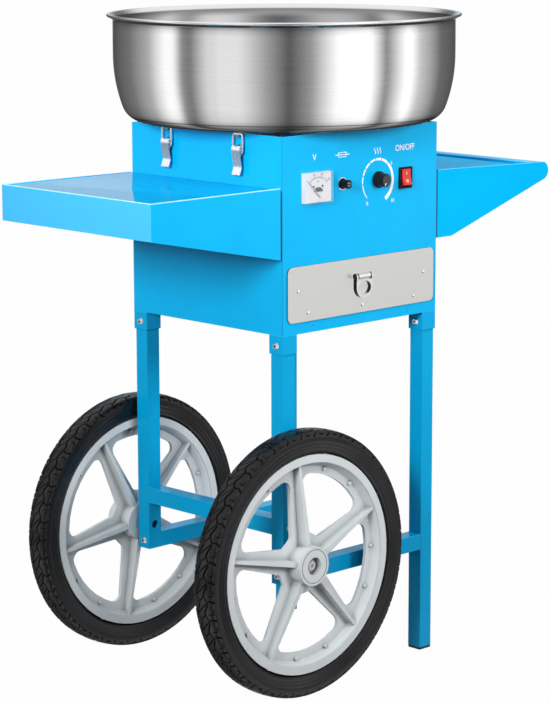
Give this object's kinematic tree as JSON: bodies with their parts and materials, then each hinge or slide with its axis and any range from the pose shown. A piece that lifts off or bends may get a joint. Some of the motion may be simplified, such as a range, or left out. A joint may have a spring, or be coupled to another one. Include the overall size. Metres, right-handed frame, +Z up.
{
  "type": "cotton candy cart",
  "caption": "Cotton candy cart: painted steel cabinet on legs and large spoked wheels, with a latched steel spinning bowl on top, side shelves, a front drawer and dial controls.",
  "frame": {"origin": "on the floor, under the spinner's axis and the middle of the cabinet", "axes": "+Z up, -Y towards the front with the drawer and controls, +X towards the side with the handle edge; the wheels are at -X"},
  "size_m": [0.82, 0.52, 0.964],
  "materials": {
    "blue_paint": "glossy sky-blue powder coat",
    "zinc_steel": "zinc-plated, satin",
    "bright_steel": "bright nickel plate",
    "bowl_steel": "spun stainless steel, finely brushed round the axis",
    "plate_steel": "brushed stainless steel",
    "wheel_grey": "moulded light grey, satin",
    "tyre_rubber": "black rubber with a sheen",
    "black_rubber": "matt black",
    "cast_aluminium": "cast, satin",
    "heater_alloy": "bright metal ribbon",
    "motor_grey": "grey enamel",
    "black_plastic": "moulded black",
    "dial_white": "white dial",
    "clear_plastic": "clear moulded cover",
    "needle_red": "black painted pointer",
    "fuse_glass": "glass tube fuse",
    "rocker_red": "translucent red"
  },
  "bodies": {
    "frame": {"cabinet_shell": "blue_paint", "front_panel": "blue_paint", "top_plate": "blue_paint", "bottom_plate": "blue_paint", "divider_plate": "zinc_steel", "drawer_runners": "zinc_steel", "leg_sockets": "blue_paint", "frame_bolts": "zinc_steel", "leg_front_left": "blue_paint", "leg_back_left": "blue_paint", "leg_front_right": "blue_paint", "leg_back_right": "blue_paint", "foot_caps": "black_rubber", "front_brace": "blue_paint", "back_brace": "blue_paint", "left_brace": "blue_paint", "axle_bolts": "zinc_steel", "axle_fixings": "zinc_steel", "left_shelf": "blue_paint", "right_shelf": "blue_paint", "bowl": "bowl_steel", "bowl_keepers": "zinc_steel", "bowl_pads": "black_rubber", "latch_bases": "zinc_steel", "motor": "motor_grey", "motor_plate": "zinc_steel", "motor_mounts": "black_rubber", "brush_holder": "black_plastic", "meter_case": "dial_white", "meter_cover": "clear_plastic", "fuse_holder": "black_plastic", "regulator": "black_plastic", "switch_body": "black_plastic", "cable_gland": "black_plastic"},
    "wheel_front": {"front_wheel": "wheel_grey", "front_tyre": "tyre_rubber"},
    "wheel_back": {"back_wheel": "wheel_grey", "back_tyre": "tyre_rubber"},
    "spinner": {"spinner_base": "cast_aluminium", "heater_ribbon": "heater_alloy", "spinner_cover": "cast_aluminium", "motor_shaft": "zinc_steel", "slip_rings": "heater_alloy"},
    "drawer": {"drawer_box": "zinc_steel", "drawer_front": "plate_steel", "pull_bracket": "bright_steel"},
    "pull": {"pull_ring": "bright_steel"},
    "control_knob": {"knob": "black_plastic"},
    "switch_rocker": {"rocker": "rocker_red"},
    "fuse_unit": {"fuse_cap": "black_plastic", "fuse": "fuse_glass"},
    "needle": {"meter_needle": "needle_red"},
    "latch_lever_front_left": {"lever_front_left": "bright_steel"},
    "latch_bail_front_left": {"bail_front_left": "bright_steel"},
    "latch_lever_back_left": {"lever_back_left": "bright_steel"},
    "latch_bail_back_left": {"bail_back_left": "bright_steel"},
    "latch_lever_front_right": {"lever_front_right": "bright_steel"},
    "latch_bail_front_right": {"bail_front_right": "bright_steel"},
    "latch_lever_back_right": {"lever_back_right": "bright_steel"},
    "latch_bail_back_right": {"bail_back_right": "bright_steel"}
  },
  "joints": [
    {"name": "drawer_slide", "type": "slide", "parent": "frame", "child": "drawer", "axis": [0, -1, 0], "range_m": [0, 0.24]},
    {"name": "pull_swing", "type": "hinge", "parent": "drawer", "child": "pull", "pos_m": [-0.005, -0.167, 0.5935], "axis": [-1, 0, 0], "range_deg": [0, 85]},
    {"name": "knob_turn", "type": "hinge", "parent": "frame", "child": "control_knob", "pos_m": [0.033, -0.165, 0.729], "axis": [0, 1, 0], "range_deg": [0, 300]},
    {"name": "rocker_tilt", "type": "hinge", "parent": "frame", "child": "switch_rocker", "pos_m": [0.0905, -0.156, 0.727], "axis": [1, 0, 0], "range_deg": [0, 16]},
    {"name": "fuse_cap_turn", "type": "hinge", "parent": "frame", "child": "fuse_unit", "pos_m": [-0.04, -0.165, 0.729], "axis": [0, -1, 0], "range_deg": [0, 90]},
    {"name": "needle_swing", "type": "hinge", "parent": "frame", "child": "needle", "pos_m": [-0.096, -0.162, 0.718], "axis": [0, 1, 0], "range_deg": [0, 90], "stiffness_Nm_per_rad": 0.001, "springref_deg": -5.73},
    {"name": "spinner_spin", "type": "hinge", "parent": "frame", "child": "spinner", "pos_m": [0, 0, 0.85], "axis": [0, 0, 1], "continuous": true},
    {"name": "front_wheel_roll", "type": "hinge", "parent": "frame", "child": "wheel_front", "pos_m": [-0.145, -0.1844, 0.195], "axis": [0, 1, 0], "continuous": true},
    {"name": "back_wheel_roll", "type": "hinge", "parent": "frame", "child": "wheel_back", "pos_m": [-0.145, 0.1844, 0.195], "axis": [0, 1, 0], "continuous": true},
    {"name": "lever_open_front_left", "type": "hinge", "parent": "frame", "child": "latch_lever_front_left", "pos_m": [-0.1665, -0.075, 0.783], "axis": [0, 1, 0], "range_deg": [0, 90]},
    {"name": "bail_swing_front_left", "type": "hinge", "parent": "latch_lever_front_left", "child": "latch_bail_front_left", "pos_m": [-0.1655, -0.075, 0.777], "axis": [0, 1, 0], "range_deg": [-75, 0]},
    {"name": "lever_open_back_left", "type": "hinge", "parent": "frame", "child": "latch_lever_back_left", "pos_m": [-0.1665, 0.075, 0.783], "axis": [0, 1, 0], "range_deg": [0, 90]},
    {"name": "bail_swing_back_left", "type": "hinge", "parent": "latch_lever_back_left", "child": "latch_bail_back_left", "pos_m": [-0.1655, 0.075, 0.777], "axis": [0, 1, 0], "range_deg": [-75, 0]},
    {"name": "lever_open_front_right", "type": "hinge", "parent": "frame", "child": "latch_lever_front_right", "pos_m": [0.1665, -0.075, 0.783], "axis": [0, -1, 0], "range_deg": [0, 90]},
    {"name": "bail_swing_front_right", "type": "hinge", "parent": "latch_lever_front_right", "child": "latch_bail_front_right", "pos_m": [0.1655, -0.075, 0.777], "axis": [0, -1, 0], "range_deg": [-75, 0]},
    {"name": "lever_open_back_right", "type": "hinge", "parent": "frame", "child": "latch_lever_back_right", "pos_m": [0.1665, 0.075, 0.783], "axis": [0, -1, 0], "range_deg": [0, 90]},
    {"name": "bail_swing_back_right", "type": "hinge", "parent": "latch_lever_back_right", "child": "latch_bail_back_right", "pos_m": [0.1655, 0.075, 0.777], "axis": [0, -1, 0], "range_deg": [-75, 0]}
  ],
  "couplings": [
    {"joint": "bail_swing_front_left", "follows": "lever_open_front_left", "ratio": -0.804},
    {"joint": "bail_swing_back_left", "follows": "lever_open_back_left", "ratio": -0.804},
    {"joint": "bail_swing_front_right", "follows": "lever_open_front_right", "ratio": -0.804},
    {"joint": "bail_swing_back_right", "follows": "lever_open_back_right", "ratio": -0.804}
  ]
}
